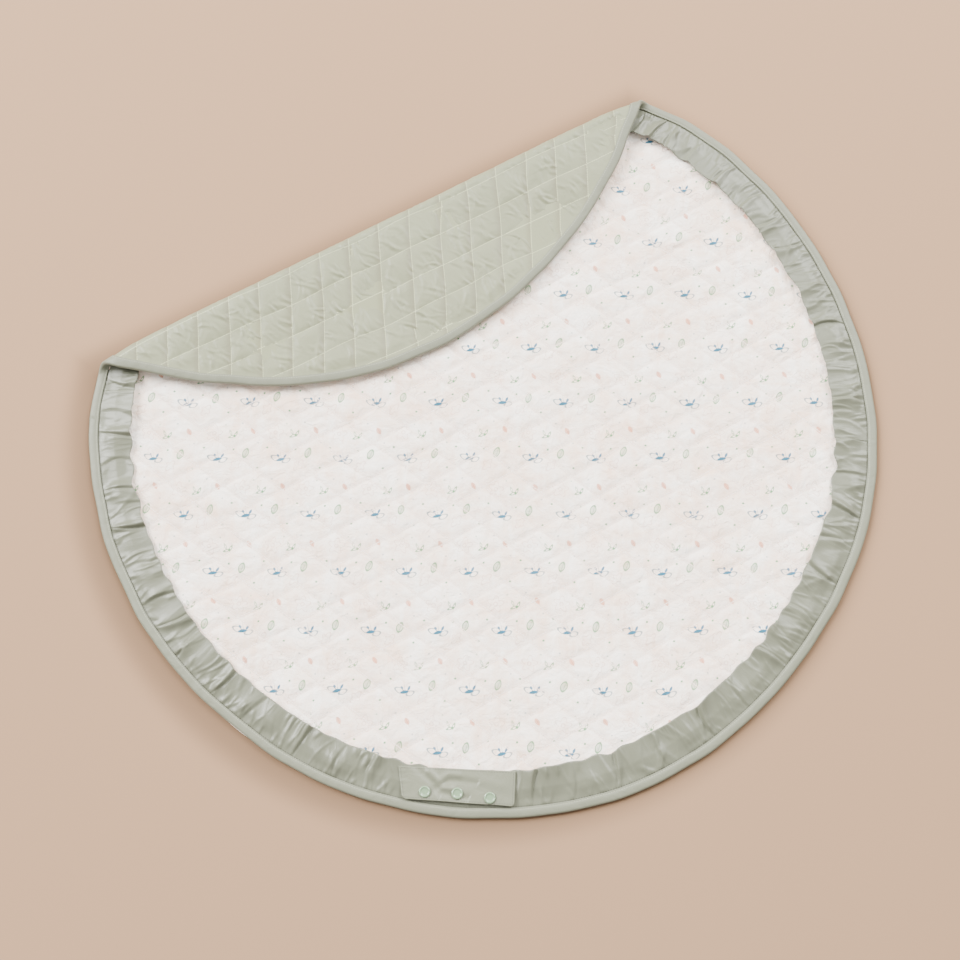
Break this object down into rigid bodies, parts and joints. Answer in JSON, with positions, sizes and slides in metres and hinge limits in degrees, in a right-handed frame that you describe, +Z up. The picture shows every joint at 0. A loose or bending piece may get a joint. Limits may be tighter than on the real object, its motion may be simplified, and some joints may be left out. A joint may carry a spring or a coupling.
{
  "type": "baby play mat",
  "caption": "Round quilted floor mat with a gathered satin band and bound edge, lying flat with one side folded over on itself.",
  "frame": {"origin": "on the floor, under the middle of the folded mat's box", "axes": "+Z is up, out of the printed top; +X runs along the longer side of the folded mat's box; the fold lies on the +Y side"},
  "size_m": [1.0035, 0.956, 0.024],
  "materials": {
    "print_cotton": "quilted cream cotton with a small pale print",
    "sage_back": "quilted sage satin",
    "sage_binding": "sage bias tape, stitched",
    "sage_satin": "thin crumpled sage satin with a soft sheen",
    "stud_plastic": "moulded press stud cap, pale sage"
  },
  "bodies": {
    "root": {"top_panel": "print_cotton", "back_panel": "sage_back", "binding": "sage_binding", "band_near": "sage_satin", "band_far": "sage_satin", "snap_flap": "sage_satin", "stud_left": "stud_plastic", "stud_middle": "stud_plastic", "stud_right": "stud_plastic"}
  },
  "joints": []
}
